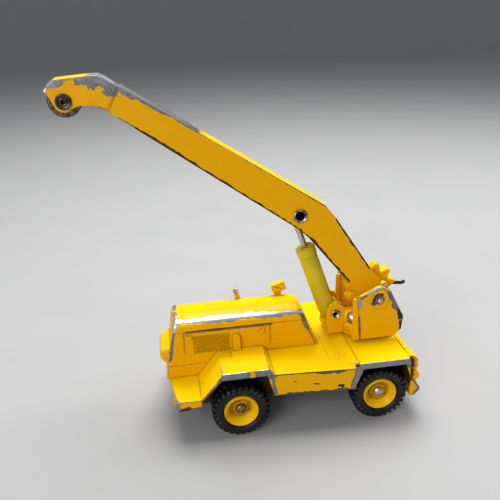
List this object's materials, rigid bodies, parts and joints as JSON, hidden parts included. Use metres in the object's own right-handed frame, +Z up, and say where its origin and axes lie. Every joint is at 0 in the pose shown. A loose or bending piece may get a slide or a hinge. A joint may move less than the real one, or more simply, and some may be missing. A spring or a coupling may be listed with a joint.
{
  "type": "toy crane truck",
  "caption": "Die-cast toy crane truck on lugged tyres with a slewing base, luffing cranked boom, telescopic strut, lobed winch wheel and tip sheave.",
  "frame": {"origin": "centre of the footprint of the whole object at rest, on the ground", "axes": "+Z up, front of the truck toward -X, +Y to the truck's right-hand side seen from the driver's seat facing forward"},
  "size_m": [0.1184, 0.0504, 0.1206],
  "materials": {
    "yellow_enamel": "gloss enamel over zinc casting, chipped at the edges",
    "hub_yellow": "gloss",
    "tyre_black": "semi-gloss rubber",
    "steel": "dull, lightly rusted",
    "dull_rivet": "tarnished",
    "mustard_plastic": "satin",
    "black_plate": "satin black tin plate",
    "dark_wire": "dark, oxidised"
  },
  "bodies": {
    "chassis": {"body_casting": "yellow_enamel", "baseplate": "black_plate", "baseplate_rivet_front": "steel", "baseplate_rivet_rear": "steel", "front_axle": "steel", "rear_axle": "steel", "turntable_rivet": "steel"},
    "wheel_front_left": {"hub_front_left": "hub_yellow", "tyre_front_left": "tyre_black"},
    "wheel_front_right": {"hub_front_right": "hub_yellow", "tyre_front_right": "tyre_black"},
    "wheel_rear_left": {"hub_rear_left": "hub_yellow", "tyre_rear_left": "tyre_black"},
    "wheel_rear_right": {"hub_rear_right": "hub_yellow", "tyre_rear_right": "tyre_black"},
    "crane": {"crane_base": "yellow_enamel", "cylinder_pin": "dull_rivet", "boom_pivot_pin": "steel"},
    "boom_arm": {"boom": "yellow_enamel", "rod_end_rivet": "dull_rivet", "sheave_rivet": "dull_rivet"},
    "tip_sheave": {"sheave": "dull_rivet"},
    "winch": {"winch_drum": "yellow_enamel", "winch_wire": "dark_wire"},
    "strut_barrel": {"cylinder_barrel": "mustard_plastic"},
    "strut_rod": {"piston_rod": "steel"}
  },
  "joints": [
    {"name": "wheel_front_left_spin", "type": "hinge", "parent": "chassis", "child": "wheel_front_left", "pos_m": [-0.00787, -0.0195, 0.01], "axis": [0, 1, 0], "continuous": true},
    {"name": "wheel_front_right_spin", "type": "hinge", "parent": "chassis", "child": "wheel_front_right", "pos_m": [-0.00787, 0.0195, 0.01], "axis": [0, 1, 0], "continuous": true},
    {"name": "wheel_rear_left_spin", "type": "hinge", "parent": "chassis", "child": "wheel_rear_left", "pos_m": [0.04149, -0.0195, 0.01], "axis": [0, 1, 0], "continuous": true},
    {"name": "wheel_rear_right_spin", "type": "hinge", "parent": "chassis", "child": "wheel_rear_right", "pos_m": [0.04149, 0.0195, 0.01], "axis": [0, 1, 0], "continuous": true},
    {"name": "crane_slew", "type": "hinge", "parent": "chassis", "child": "crane", "pos_m": [0.04031, 0, 0.026], "axis": [0, 0, 1], "continuous": true},
    {"name": "boom_luff", "type": "hinge", "parent": "crane", "child": "boom_arm", "pos_m": [0.04361, 0, 0.0415], "axis": [0, -1, 0], "range_deg": [-6, 30]},
    {"name": "sheave_spin", "type": "hinge", "parent": "boom_arm", "child": "tip_sheave", "pos_m": [-0.05399, 0, 0.1136], "axis": [0, 1, 0], "continuous": true},
    {"name": "winch_turn", "type": "hinge", "parent": "boom_arm", "child": "winch", "pos_m": [0.04361, 0, 0.0415], "axis": [0, 1, 0], "range_deg": [-60, 45]},
    {"name": "strut_swing", "type": "hinge", "parent": "crane", "child": "strut_barrel", "pos_m": [0.02981, 0, 0.034], "axis": [0, -1, 0], "range_deg": [-7.07, 31.37]},
    {"name": "strut_slide", "type": "slide", "parent": "strut_barrel", "child": "strut_rod", "axis": [-0.3207, 0, 0.9472], "range_m": [-0.00845, 0.00193]}
  ],
  "couplings": [
    {"joint": "strut_swing", "follows": "boom_luff", "ratio": 1.0124},
    {"joint": "strut_slide", "follows": "boom_luff", "m_per_rad": -0.015564}
  ]
}
